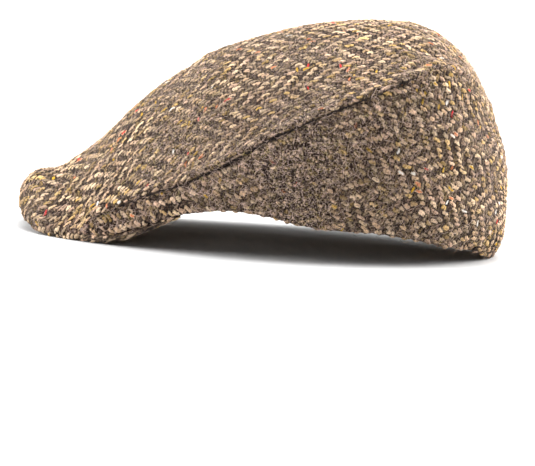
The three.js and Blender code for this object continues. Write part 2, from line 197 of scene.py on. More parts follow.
def table_curve(rows, columns, name):
    """Smooth function through one column of a table, with slopes that never overshoot its rows."""
    places = np.array([row[0] for row in rows], float)
    values = np.array([row[columns.index(name)] for row in rows], float)
    steps = np.diff(places)
    rates = np.diff(values) / steps
    slopes = np.empty(len(rows))
    slopes[0] = rates[0]
    slopes[-1] = rates[-1]
    before, after = rates[:-1], rates[1:]
    same_way = before * after > 0
    total = np.where(same_way, before + after, 1)
    slopes[1:-1] = np.where(same_way, 2 * before * after / total, 0)

    def curve(place):
        place = np.asarray(place, float)
        index = np.clip(np.searchsorted(places, place) - 1, 0, len(rows) - 2)
        share = np.clip((place - places[index]) / steps[index], 0, 1)
        square, cube = share ** 2, share ** 3
        return (
            (2 * cube - 3 * square + 1) * values[index]
            + (cube - 2 * square + share) * steps[index] * slopes[index]
            + (3 * square - 2 * cube) * values[index + 1]
            + (cube - square) * steps[index] * slopes[index + 1]
        )
    return curve


STATION = {name: table_curve(STATIONS, STATION_COLUMNS, name) for name in STATION_COLUMNS[1:]}
SIDE_OUT = table_curve(SIDE_PROFILE, PROFILE_COLUMNS, "out")
PEAK_RISE = table_curve(PEAK_RIDGE, RIDGE_COLUMNS, "rise")


class CapCut:
    """The cap's surfaces as functions, cut from the sizes in the sidebar."""

    def __init__(self, sizes):
        self.sizes = sizes
        self.middle_x = -sizes.length / 2 + sizes.length * WIDEST_SHARE
        self.front = sizes.length * WIDEST_SHARE
        self.seam_back = sizes.length * SEAM_BACK_SHARE
        self.hem_back = sizes.length * HEM_BACK_SHARE
        self.seam_half = sizes.width * SEAM_WIDE_SHARE / 2
        self.hem_half = sizes.width * HEM_WIDE_SHARE / 2
        self.bulge = sizes.length * BULGE_SHARE

    def height(self, name, turn):
        return self.sizes.height * STATION[name](turn)

    def plan(self, turn, back, half_width, inset=0.0):
        """Point of an outline at a turn, drawn in by inset."""
        cosine = np.cos(np.radians(turn))
        sine = np.abs(np.sin(np.radians(turn)))
        ahead = cosine > 0
        reach = np.where(ahead, self.front, back) - inset
        power = 2 / np.where(ahead, FRONT_FULLNESS, BACK_FULLNESS)
        return self.middle_x - reach * cosine, (half_width - inset) * sine ** power

    def hem(self, turn):
        return self.plan(turn, self.hem_back, self.hem_half)

    def seam(self, turn):
        wide = mix(self.hem_half, self.seam_half, smoothstep(turn, TIP_TURN, WIDEST_TURN))
        return self.plan(turn, self.seam_back, wide)

    def lip(self, turn):
        return self.sizes.peak_thickness * STATION["lip"](turn)

    def rim(self, turn):
        return self.height("low", turn) + self.lip(turn)

    def foot(self, turn):
        """Lower edge of the side panels."""
        return self.rim(turn) + self.sizes.gap * (1 - smoothstep(turn, PEAK_END_TURN, WIDEST_TURN))

    def seam_height(self, turn):
        wall = np.where(turn < TIP_TURN, 0, self.sizes.wall)
        return np.maximum(self.height("seam", turn), self.foot(turn) + wall)

    def side_height(self, turn):
        return self.seam_height(turn) - self.foot(turn)

    def arch(self, across, power):
        soft = RIDGE_SOFTNESS ** 2
        low = soft ** (power / 2)
        high = (1 + soft) ** (power / 2)
        return ((across ** 2 + soft) ** (power / 2) - low) / (high - low)

    def dents(self, turn, across):
        depth = np.zeros_like(turn)
        for at_turn, at_across, reach, spread, deep in TOP_DENTS:
            along = (turn - at_turn) / reach
            aside = (np.abs(across) - at_across) / spread
            depth += deep * np.exp(-along ** 2 - aside ** 2)
        return depth * (1 - np.abs(across) ** DENT_EDGE_POWER)

    def top(self, disc_x, disc_y):
        """Top panel over a disc: -1 at the front edge and 1 at the back along x, seams at radius 1."""
        turn = np.degrees(np.arccos(np.clip(-disc_x, -1, 1)))
        half = np.sqrt(np.maximum(1 - disc_x ** 2, TINY))
        across = np.clip(disc_y / half, -1, 1)
        plan_x, plan_y = self.seam(turn)
        seam = self.seam_height(turn)
        crown = np.maximum(self.height("crown", turn), seam)
        drop = (crown - seam) * self.arch(across, STATION["arch"](turn))
        z = crown - drop - self.dents(turn, across)
        return np.stack([plan_x, plan_y * across, z], -1)

    def side(self, turn, up):
        """Right-hand side panel, on +Y: up runs from 0 at its foot to 1 at the seam."""
        foot_x, foot_y = self.hem(turn)
        seam_x, seam_y = self.seam(turn)
        ahead = np.minimum(turn + 1, BACK_TURN)
        x1, y1 = self.hem(ahead)
        x0, y0 = self.hem(ahead - 2)
        run = np.hypot(x1 - x0, y1 - y0)
        swell = self.bulge * STATION["swell"](turn) * SIDE_OUT(up)
        x = mix(foot_x, seam_x, up) - (y1 - y0) / run * swell
        y = mix(foot_y, seam_y, up) + (x1 - x0) / run * swell
        z = mix(self.foot(turn), self.seam_height(turn), up)
        return np.stack([x, y, z], -1)

    def peak_top(self, x, y):
        """Height of the peak's upper face behind its rim."""
        seat = self.sizes.edge_seat
        reach = self.front - seat
        turn = np.degrees(np.arccos(np.clip((self.middle_x - x) / reach, -1, 1)))
        edge = self.plan(turn, self.hem_back, self.hem_half, seat)[1]
        back = np.maximum((x - self.middle_x + reach) / (self.sizes.peak_reach - seat), 0)
        low = self.rim(np.zeros(1))[0]
        ridge = low + (self.sizes.peak_height - low) * PEAK_RISE(back)
        aside = np.minimum(np.abs(y) / np.maximum(edge, self.sizes.wall), 1)
        return ridge - (ridge - self.rim(turn)) * self.arch(aside, PEAK_ARCH)


def unit(vectors):
    return vectors / np.maximum(np.linalg.norm(vectors, axis=-1, keepdims=True), 1e-12)


def upward(vectors):
    """Unit vectors, each turned so that it doesn't point down."""
    vectors = unit(vectors)
    return vectors * np.where(vectors[:, 2:] < 0, -1, 1)


def sampled(grid, row, column):
    """Value of a grid between its rows and columns."""
    r0 = np.minimum(row.astype(int), grid.shape[0] - 2)
    c0 = np.minimum(column.astype(int), grid.shape[1] - 2)
    near = mix(grid[r0, c0], grid[r0, c0 + 1], column - c0)
    far = mix(grid[r0 + 1, c0], grid[r0 + 1, c0 + 1], column - c0)
    return mix(near, far, row - r0)


def arc_lengths(points, axis):
    """Distance run along one axis of a grid of points."""
    steps = np.linalg.norm(np.diff(points, axis=axis), axis=-1)
    start = np.zeros_like(np.take(steps, [0], axis=axis))
    return np.cumsum(np.concatenate([start, steps], axis=axis), axis=axis)


def grid_at(bm, columns, rows):
    """A new grid's vertices with their places from -1 to 1."""
    made = bmesh.ops.create_grid(bm, x_segments=columns, y_segments=rows, size=1)
    verts = made["verts"]
    return verts, np.array([vert.co[:2] for vert in verts])


def move_to(verts, points):
    for vert, point in zip(verts, points):
        vert.co = point


def above_floor(points):
    """The points with none below the plane that the cap rests on."""
    points[:, 2] = np.maximum(points[:, 2], 0)
    return points


def normals_of(bm, verts):
    bm.normal_update()
    return np.array([vert.normal[:] for vert in verts])


def smooth_mesh(bm, name):
    """The closed shape as a smooth mesh that faces outward."""
    bmesh.ops.recalc_face_normals(bm, faces=bm.faces)
    for face in bm.faces:
        face.smooth = True
    mesh = bpy.data.meshes.new(name)
    bm.to_mesh(mesh)
    bm.free()
    return mesh


def wale(cloth):
    """Height of the twill ridges from -1 to 1, over cloth places counted in threads."""
    across = cloth[:, 0] % (2 * COLUMN_THREADS)
    turned = across > COLUMN_THREADS
    folded = np.where(turned, 2 * COLUMN_THREADS - across, across)
    phase = folded + cloth[:, 1] + np.where(turned, 2, 0) - WALE_START
    return np.cos(2 * math.pi * phase / REPEAT)


def float_height(cloth):
    """Height of the yarns' floats from 0 to 1, over cloth places counted in threads."""
    i, j = np.floor(cloth[:, 0]), np.floor(cloth[:, 1])
    fu, fv = cloth[:, 0] - i, cloth[:, 1] - j
    odd = np.floor(cloth[:, 0] / COLUMN_THREADS) % 2
    spot = (i + 0.5) % (2 * COLUMN_THREADS)
    folded = np.floor(np.minimum(spot, 2 * COLUMN_THREADS - spot))
    phase = (folded + j + 2 * odd) % REPEAT
    warp = phase < FLOAT
    back = np.where(odd > 0, 1 - fu, fu)
    along = np.where(warp, phase + fv, phase - FLOAT + back) / FLOAT
    across = np.where(warp, fu, fv)
    height = np.sin(math.pi * along) ** FLOAT_POWER * np.sin(math.pi * across)
    return height * np.where(warp, 1, WEFT_HEIGHT)


def lumps(points, size, seed):
    """Smooth noise from -1 to 1 with lumps of about the given size."""
    cell = points / size + seed
    return np.array([noise.noise(Vector(place)) for place in cell])


def yarn_sway(sizes, points):
    """How far the yarns stray from a straight weave, in threads."""
    noise.seed_set(SWAY_SEED)
    near, far = (
        np.array([noise.noise_vector(Vector(place))[:2] for place in points / size])
        for size in (NEAR_SWAY, FAR_SWAY)
    )
    return sizes.sway * near + sizes.wander * far


def tweed_relief(sizes, points, cloth):
    """Twill ridges, single floats and uneven yarn, as a height over the smooth cloth."""
    woven = sizes.relief * wale(cloth) + sizes.float_relief * float_height(cloth)
    return woven + sizes.lumps * lumps(points, LUMP_SIZE, LUMP_SEED)


def crease_height(points):
    """Height of the folds that show beside the seam's tail, on both sides of the cap."""
    back = points[:, 0] / MM
    up = (points[:, 2] * math.cos(VIEW_TILT) - np.abs(points[:, 1]) * math.sin(VIEW_TILT)) / MM
    height = np.zeros(len(points))
    for x0, u0, x1, u1, width, high in CREASES:
        run_x, run_u = x1 - x0, u1 - u0
        share = ((back - x0) * run_x + (up - u0) * run_u) / (run_x ** 2 + run_u ** 2)
        share = np.clip(share, 0, 1)
        away = np.hypot(back - x0 - share * run_x, up - u0 - share * run_u)
        height += high * MM * np.exp(-(away / width) ** 2)
    return height * smoothstep(np.abs(points[:, 1]), *CREASE_FADE)


def cloth_mesh(name, panel, side=1):
    """A closed panel: a fine outer grid with the weave's relief, a plain inner grid, and a rim."""
    sizes = panel.cut.sizes
    mirror = np.array([1, side, 1])
    bm = bmesh.new()
    outer, places = grid_at(bm, *panel.FINE)
    points = panel.outer(places) * mirror
    move_to(outer, points)
    outward = normals_of(bm, outer)
    outward *= np.sign((outward * (points - points.mean(0))).sum())
    cloth = panel.cloth(places) + yarn_sway(sizes, points)
    move_to(outer, above_floor(points + outward * panel.relief(points, cloth, places)[:, None]))
    inner, inner_places = grid_at(bm, *panel.COARSE)
    inside = above_floor(panel.inner(inner_places) * mirror)
    move_to(inner, inside)
    edges = [edge for edge in bm.edges if edge.is_boundary]
    bmesh.ops.bridge_loops(bm, edges=edges)
    mesh = smooth_mesh(bm, name)
    inner_cloth = panel.cloth(inner_places) + yarn_sway(sizes, inside)
    add_cloth_map(mesh, np.concatenate([cloth, inner_cloth]))
    # painted shade down in the seams, kept on the mesh for the tweed's colour
    sunk = np.concatenate([panel.sunk(places), np.zeros(len(inside))])
    mesh.attributes.new(SEAM_SHADE_ATTRIBUTE, "FLOAT", "POINT").data.foreach_set("value", sunk.astype(np.float32))
    return mesh


def add_cloth_map(mesh, cloth):
    """Stores each vertex's place on the cloth, in threads, as the mesh's UV map."""
    layer = mesh.uv_layers.new(name=CLOTH_MAP)
    corners = np.empty(len(mesh.loops), np.int32)
    mesh.loops.foreach_get("vertex_index", corners)
    layer.data.foreach_set("uv", cloth[corners].astype(np.float32).ravel())


def disc_places(places, crowding):
    """Square grid places as radius and direction on a disc, with rings closer together at its edge."""
    p, q = places[:, 0], places[:, 1]
    x = p * np.sqrt(1 - q ** 2 / 2)
    y = q * np.sqrt(1 - p ** 2 / 2)
    radius = np.hypot(x, y)
    safe = np.maximum(radius, TINY)
    direction = np.stack([x / safe, y / safe], -1)
    direction[radius < TINY] = (1, 0)
    return mix(radius, np.sin(math.pi / 2 * radius), crowding), direction


class TopPanel:
    """Places on the top panel, and on its turned-in edge that also wraps the peak."""

    FINE = (300, 300)
    COARSE = (72, 72)
    SAMPLES = (401, 161)            # along and across, where distances on the cloth are measured
    CROWDING = 0.35
    BAND = 0.965                    # share of the disc's radius that is the panel itself
    ROLL_WIDTH = 6.5 * MM
    ROLL_START = 0.19               # share of the roll's curve that is past the edge
    ROLL_TURNS = (TIP_TURN - 2, TIP_TURN + 3)   # turns between which the roll begins
    ROLL_LIFT = 0.6                 # how far it is pushed off the cloth beside outward
    SEAM_DEPTH = 0.2 * MM           # how far the turned-in edge runs down into the seam
    SHADED = (0.3, 0.7)             # shares of the turned-in edge between which it is in the seam's shade
    CALMED = (0.1, 0.5)             # and between which its relief ends
    STEP = 0.01                     # of the disc, between two places that give a direction
    MIDDLE = 0.02                   # of the disc, where the inside faces straight down
    INNER_EDGE = 0.4                # distance from the rounded edge to the inside, in walls

    def __init__(self, cut):
        self.cut = cut
        self.radius = cut.sizes.edge_round
        columns, rows = self.SAMPLES
        self.disc_x = np.linspace(-1, 1, columns)
        grid_x, grid_across = np.meshgrid(self.disc_x, np.linspace(0, 1, rows), indexing="ij")
        half = np.sqrt(np.maximum(1 - grid_x ** 2, 0))
        points = cut.top(grid_x, grid_across * half)
        self.along = arc_lengths(points[:, :1], 0)[:, 0]
        self.along -= np.interp(0, self.disc_x, self.along)
        self.aside = arc_lengths(points, 1)

    def at(self, places):
        """Radius and direction on the disc, turn round the outline, and share of the turned-in edge."""
        radius, direction = disc_places(places, self.CROWDING)
        turn = np.degrees(np.arccos(np.clip(-direction[:, 0], -1, 1)))
        return radius, direction, turn, np.clip((radius - self.BAND) / (1 - self.BAND), 0, 1)

    def outline(self, direction):
        """Distance in plan from the middle to the seam, along a direction of the disc."""
        edge = self.cut.top(direction[:, 0], direction[:, 1])
        return np.hypot(edge[:, 0] - self.cut.middle_x, edge[:, 1])

    def skin(self, direction, radius):
        return self.cut.top(direction[:, 0] * radius, direction[:, 1] * radius)

    def stepped(self, direction):
        """The direction one step further round."""
        return direction + self.STEP * np.stack([-direction[:, 1], direction[:, 0]], -1)

    def edge_frame(self, direction, radius):
        """Edge points with the directions that run out over the edge and out of the cloth."""
        edge = self.skin(direction, radius)
        out = unit(edge - self.skin(direction, radius - self.STEP))
        along = unit(self.skin(self.stepped(direction), radius) - edge)
        return edge, out, upward(np.cross(out, along))

    def outer(self, places):
        radius, direction, turn, past = self.at(places)
        inside = np.minimum(radius / self.BAND, 1)
        wrap = 1 - smoothstep(turn, *WRAP_FADE)
        limit = 1 - self.radius * (1 - wrap) / self.outline(direction)
        points = self.skin(direction, inside * limit)
        edge, out, normal = self.edge_frame(direction, limit)
        plan_out = unit(np.stack([edge[:, 0] - self.cut.middle_x, edge[:, 1], 0 * turn], -1))
        down = np.array([0, 0, -1.0])
        out = unit(mix(out, down, wrap[:, None]))
        normal = unit(mix(normal, plan_out, wrap[:, None]))
        before = wrap * np.maximum(self.cut.lip(turn) - self.radius, 0)
        quarter = self.radius * math.pi / 2
        after = (1 - wrap) * self.SEAM_DEPTH
        run = past * (before + quarter + after)
        bend = np.clip((run - before) / self.radius, 0, math.pi / 2)
        over = np.minimum(run, before) + self.radius * np.sin(bend)
        under = self.radius * (1 - np.cos(bend)) + np.maximum(run - before - quarter, 0)
        band = edge + out * over[:, None] - normal * under[:, None]
        from_edge = np.minimum(np.linalg.norm(points - edge, axis=-1) / self.ROLL_WIDTH, 1)
        roll = np.sin(math.pi * mix(self.ROLL_START, 1, from_edge))
        roll *= smoothstep(turn, *self.ROLL_TURNS) * (1 - smoothstep(turn, *ROLL_FADE))
        reach = self.cut.sizes.roll * roll * (1 - past)
        push = unit(normal * self.ROLL_LIFT + plan_out) * reach[:, None]
        return np.where((radius > self.BAND)[:, None], band, points) + push

    def inner(self, places):
        radius, direction = disc_places(places, self.CROWDING)
        wall = self.cut.sizes.wall
        limit = 1 - (self.radius + self.INNER_EDGE * wall) / self.outline(direction)
        points = self.skin(direction, radius * limit)
        nearer = self.skin(direction, np.maximum(radius * limit - self.STEP, 0))
        further = self.skin(self.stepped(direction), radius * limit)
        normal = upward(np.cross(points - nearer, further - points))
        normal[radius < self.MIDDLE] = (0, 0, 1)
        return points - normal * wall

    def cloth(self, places):
        """Threads across and along: the columns run from front to back."""
        radius, direction = disc_places(places, self.CROWDING)
        inside = np.minimum(radius / self.BAND, 1)
        beyond = np.maximum(radius / self.BAND - 1, 0) * self.outline(direction)
        x = direction[:, 0] * inside
        half = np.sqrt(np.maximum(1 - x ** 2, TINY))
        across = np.clip(direction[:, 1] * inside / half, -1, 1)
        row = np.interp(x, self.disc_x, np.arange(len(self.disc_x)))
        column = np.abs(across) * (self.aside.shape[1] - 1)
        u = np.sign(across) * sampled(self.aside, row, column) + direction[:, 1] * beyond
        v = np.interp(x, self.disc_x, self.along) + direction[:, 0] * beyond
        return np.stack([u, v], -1) / self.cut.sizes.thread + CLOTH_START

    # Share of painted shade down in the seam at each place
    def sunk(self, places):
        turn, past = self.at(places)[2:]
        shown = smoothstep(turn, *WRAP_FADE) * mix(1, SEAM_TAIL, smoothstep(turn, *ROLL_FADE))
        return shown * smoothstep(past, *self.SHADED)

    def relief(self, points, cloth, places):
        turn, past = self.at(places)[2:]
        calm = smoothstep(turn, *WRAP_FADE) * smoothstep(past, *self.CALMED)
        return (tweed_relief(self.cut.sizes, points, cloth) + crease_height(points)) * (1 - calm)


class SidePanel:
    """Places on the right-hand side panel, on +Y."""

    FINE = (560, 150)
    COARSE = (105, 16)
    SAMPLES = 1200                  # turns where distances along the panel are measured
    CROWDING = 0.3
    SEAM_ROUND = 1.7 * MM           # radius of the fall into the seam
    EDGE_SHARE = 0.45               # greatest radius of an edge, as a share of the panel's height there
    LEAN = 2.2 * MM                 # how far the cloth leans in towards the seam
    LEAN_HEIGHT = 8 * MM
    LEAN_SHARE = 0.5                # greatest height of that lean, as a share of the panel's height
    FLANGE = 1.2 * MM               # how far the hidden seam edge stands up behind the top panel
    FLANGE_END = (80, 90)           # turns between which that ends, and starts again
    FLANGE_START = (142, 150)
    TURNED = (0.4, 1)               # shares of the fall between which it becomes that edge
    SHADED = (0.3, 0.9)             # and between which it is in the seam's shade
    SEAM_TURNS = (BACK_TURN - 1.5, BACK_TURN)   # turns between which the cloth turns square to the seam
    TIP_TURNS = (TIP_TURN, TIP_TURN + 9)        # turns between which the wall comes to its full thickness
    TIP_WALL = 0.5
    HEM_TURNS = (PEAK_END_TURN, PEAK_END_TURN + 9)
    HEM_FOLD = (0.1, 0.22)          # shares of the height between which the hem's fold ends
    INSET = 0.03                    # share of the height that the inside keeps from foot and seam

    def __init__(self, cut):
        self.cut = cut
        self.turns = np.linspace(TIP_TURN, BACK_TURN, self.SAMPLES)
        self.run = arc_lengths(cut.side(self.turns, np.full_like(self.turns, 0.5)), 0)

    def at(self, places):
        """Turn round the outline and share of the height from the foot to the seam."""
        turn = np.interp((places[:, 0] + 1) / 2 * self.run[-1], self.run, self.turns)
        up = (places[:, 1] + 1) / 2
        return turn, mix(up, up * up * (3 - 2 * up), self.CROWDING)

    def normal(self, turn, up):
        step_turn, step_up = 0.2, 0.01
        turn0 = np.clip(turn - step_turn, TIP_TURN, BACK_TURN)
        turn1 = np.clip(turn + step_turn, TIP_TURN, BACK_TURN)
        up0 = np.clip(up - step_up, 0, 1)
        up1 = np.clip(up + step_up, 0, 1)
        along = self.cut.side(turn1, up) - self.cut.side(turn0, up)
        rise = self.cut.side(turn, up1) - self.cut.side(turn, up0)
        normal = unit(np.cross(rise, along))
        normal[:, 1] *= 1 - smoothstep(turn, *self.SEAM_TURNS)
        return unit(normal)

    def edge_drop(self, turn, up):
        """How far the cloth curls in at the hem, at the seams and at the tip."""
        high = self.cut.side_height(turn)
        plain = np.minimum(self.cut.sizes.edge_round, self.EDGE_SHARE * high)
        seam = np.minimum(self.SEAM_ROUND, self.EDGE_SHARE * high)
        run = np.interp(turn, self.turns, self.run)
        edges = ((up * high, plain), ((1 - up) * high, seam), (run, plain), (self.run[-1] - run, plain))
        drops = []
        for distance, radius in edges:
            short = np.clip(1 - distance / radius, 0, 1)
            drops.append(radius * (1 - np.sqrt(1 - short ** 2)))
        return drops

    def outer(self, places):
        turn, up = self.at(places)
        points = self.cut.side(turn, up)
        high = self.cut.side_height(turn)
        lean_height = np.minimum(self.LEAN_HEIGHT, self.LEAN_SHARE * high)
        near_seam = 1 - smoothstep((1 - up) * high, 0, lean_height)
        lean = self.LEAN * lean_height / self.LEAN_HEIGHT * near_seam
        lean *= 1 - smoothstep(turn, *ROLL_FADE)
        drops = self.edge_drop(turn, up)
        points -= self.normal(turn, up) * (np.maximum.reduce(drops) + lean)[:, None]
        start, end = self.TURNED
        turned = smoothstep(drops[1], start * self.SEAM_ROUND, end * self.SEAM_ROUND)
        present = 1 - smoothstep(turn, *self.FLANGE_END) + smoothstep(turn, *self.FLANGE_START)
        points[:, 2] += self.FLANGE * turned * present
        points[:, 1] = np.maximum(points[:, 1], self.cut.sizes.gap / 2)
        return points

    def inner(self, places):
        turn, up = self.at(places)
        sizes = self.cut.sizes
        hemmed = smoothstep(turn, *self.HEM_TURNS) * (1 - smoothstep(up, *self.HEM_FOLD))
        full = smoothstep(turn, *self.TIP_TURNS)
        wall = sizes.wall * mix(self.TIP_WALL, 1, full) + sizes.hem_fold * hemmed
        inset = mix(self.INSET, 1 - self.INSET, up)
        points = self.cut.side(turn, inset)
        points -= self.normal(turn, inset) * wall[:, None]
        points[:, 1] = np.maximum(points[:, 1], sizes.gap / 2)
        return points

    def cloth(self, places):
        turn, up = self.at(places)
        along = np.interp(turn, self.turns, self.run)
        rise = mix(self.cut.foot(turn), self.cut.seam_height(turn), up)
        bias = self.cut.sizes.bias
        v = along * math.cos(bias) - rise * math.sin(bias)
        u = along * math.sin(bias) + rise * math.cos(bias)
        return np.stack([u, v], -1) / self.cut.sizes.thread + CLOTH_START

    # Share of painted shade down in the seam and at the back edge, at each place
    def sunk(self, places):
        turn, up = self.at(places)
        _, seam, _, back = self.edge_drop(turn, up)
        start, end = self.SHADED
        seam = smoothstep(seam, start * self.SEAM_ROUND, end * self.SEAM_ROUND)
        seam *= mix(1, SEAM_TAIL, smoothstep(turn, *ROLL_FADE))
        return np.maximum(seam, SEAM_TAIL * smoothstep(back, 0, self.cut.sizes.edge_round))

    def relief(self, points, cloth, places):
        sizes = self.cut.sizes
        inner_edges = self.edge_drop(*self.at(places))[1:]
        calm = np.minimum(np.maximum.reduce(inner_edges) / sizes.edge_round, 1)
        return (tweed_relief(sizes, points, cloth) + crease_height(points)) * (1 - calm)


class Peak:
    """Places on the cloth-covered peak: a loop round its section, from edge to edge."""

    FINE = (300, 150)
    ROUND = 0.06                    # share of the loop that is the rounded edge
    REAR = 0.02                     # share of the loop that is the rear face
    TAPER_START = 57                # turn where the edge starts to thin towards its rear corner
    TAPER = 0.75                    # share of its thickness that it loses there
    SETTLE = 0.1                    # share of the way in from the rim where the rim's level ends
    WOVEN = (0.52, 0.56)            # shares of the loop between which the weave's relief ends
    CORNER = 0.02                   # share of the length at each rear corner where it ends too
    UPPER_SHIFT = 0.5               # metres along the cloth from the lower face to the upper
    CLOSED = 0.02                   # share of the loop at its rear seam that keeps its place
    LOWER_END = -0.3                # place on the loop where its lower face surely still is

    def __init__(self, cut):
        self.cut = cut

    def outer(self, places):
        cut, sizes = self.cut, self.cut.sizes
        turn = places[:, 0] * PEAK_END_TURN
        side = np.sign(turn)
        turn = np.abs(turn)
        loop = (places[:, 1] + 1) / 2
        lip = cut.lip(turn) * (1 - self.TAPER * smoothstep(turn, self.TAPER_START, PEAK_END_TURN))
        tuck = (sizes.edge_round + 3 * sizes.gap) * (1 - smoothstep(turn, *WRAP_FADE))
        upper_start = 0.5 + self.ROUND / 2
        upper = np.clip((loop - upper_start) / (1 - self.REAR - upper_start), 0, 1)
        lower = np.clip(1 - loop / (0.5 - self.ROUND / 2), 0, 1)
        inward = np.maximum(upper, lower)
        angle = np.clip((loop - 0.5) / self.ROUND, -0.5, 0.5) * math.pi
        radius = lip / 2
        edge_x, edge_y = cut.plan(turn, cut.hem_back, cut.hem_half, tuck + radius)
        out_x, out_y = cut.plan(turn, cut.hem_back, cut.hem_half, tuck)
        rear_x, rear_y = self.rear(turn)
        x = mix(edge_x, rear_x, inward)
        y = mix(edge_y, rear_y, inward)
        x += (out_x - edge_x) * np.cos(angle) * (inward <= 0)
        y += (out_y - edge_y) * np.cos(angle) * (inward <= 0)
        top = np.where(inward > 0, cut.peak_top(x, y), cut.rim(turn))
        settle = smoothstep(inward, 0, self.SETTLE)
        top = mix(cut.rim(turn), top, settle) - sizes.gap
        low = top - lip + sizes.gap
        z = np.where(upper > 0, top, np.where(lower > 0, low, (top + low) / 2 + radius * np.sin(angle)))
        rear = np.clip((loop - 1 + self.REAR) / self.REAR, 0, 1)
        z = mix(z, low, rear)
        return np.stack([x, y * side, z], -1)

    def rear(self, turn):
        corner_x, corner_y = self.cut.hem(np.full_like(turn, PEAK_END_TURN))
        front = self.cut.middle_x - self.cut.front + self.cut.sizes.peak_reach
        aside = turn / PEAK_END_TURN
        return mix(front, corner_x, aside ** 2), (corner_y - 2 * self.cut.sizes.edge_seat) * aside

    def cloth(self, places):
        """Threads on the bias; the covered upper face is set apart from the lower one."""
        points = self.outer(places)
        v = points[:, 0] + np.where(places[:, 1] < 0, 0, self.UPPER_SHIFT)
        across, along = points[:, 1] + points[:, 2], v - points[:, 2]
        turned = np.stack([across + along, along - across], -1) * math.sqrt(0.5)
        return turned / self.cut.sizes.thread + CLOTH_START

    def relief(self, points, cloth, places):
        sizes = self.cut.sizes
        loop = (places[:, 1] + 1) / 2
        shown = 1 - smoothstep(loop, *self.WOVEN)
        shown *= smoothstep(1 - np.abs(places[:, 0]), 0, self.CORNER)
        return shown * tweed_relief(sizes, points, cloth)


def peak_mesh(name, peak):
    """The peak's loop closed along its rear and filled at its two rear corners."""
    bm = bmesh.new()
    layer = bm.verts.layers.float_vector.new("cloth_place")
    verts, places = grid_at(bm, *peak.FINE)
    points = peak.outer(places)
    move_to(verts, points)
    outward = normals_of(bm, verts)
    lower_face = places[:, 1] < peak.LOWER_END
    outward *= -np.sign(outward[lower_face, 2].sum())
    cloth = peak.cloth(places) + yarn_sway(peak.cut.sizes, points)
    closing = np.minimum(1 - places[:, 1], places[:, 1] + 1) < peak.CLOSED
    raised = np.where(closing, 0, peak.relief(points, cloth, places))
    move_to(verts, above_floor(points + outward * raised[:, None]))
    for vert, place in zip(verts, cloth):
        vert[layer] = (place[0], place[1], 0)
    bmesh.ops.remove_doubles(bm, verts=bm.verts, dist=0.001 * MM)
    edges = [edge for edge in bm.edges if edge.is_boundary]
    bmesh.ops.holes_fill(bm, edges=edges, sides=0)
    kept = np.array([vert[layer][:2] for vert in bm.verts])
    bm.verts.layers.float_vector.remove(layer)
    mesh = smooth_mesh(bm, name)
    add_cloth_map(mesh, kept)
    return mesh


class Wire:
    """A shader socket, or a number, that can be written into sums."""

    def __init__(self, shader, socket):
        self.shader = shader
        self.socket = socket

    def math(self, operation, *others, swap=False):
        values = [self, *others]
        if swap:
            values.reverse()
        return self.shader.node("ShaderNodeMath", {"operation": operation}, dict(enumerate(values)))

    def __add__(self, other):
        return self.math("ADD", other)

    def __radd__(self, other):
        return self.math("ADD", other, swap=True)

    def __sub__(self, other):
        return self.math("SUBTRACT", other)

    def __rsub__(self, other):
        return self.math("SUBTRACT", other, swap=True)

    def __mul__(self, other):
        return self.math("MULTIPLY", other)

    def __rmul__(self, other):
        return self.math("MULTIPLY", other, swap=True)

    def __truediv__(self, other):
        return self.math("DIVIDE", other)

    def __rtruediv__(self, other):
        return self.math("DIVIDE", other, swap=True)

    def __mod__(self, other):
        return self.math("FLOORED_MODULO", other)

    def __lt__(self, other):
        return self.math("LESS_THAN", other)

    def __gt__(self, other):
        return self.math("GREATER_THAN", other)

    def __abs__(self):
        return self.math("ABSOLUTE")

    def floor(self):
        return self.math("FLOOR")

    def clamped(self):
        return self.shader.node("ShaderNodeClamp", {}, {0: self, 1: 0, 2: 1})

    def rising(self, start, slope):
        """Mask that is 0 up to the start and rises from there to 1."""
        return ((self - start) * slope).clamped()


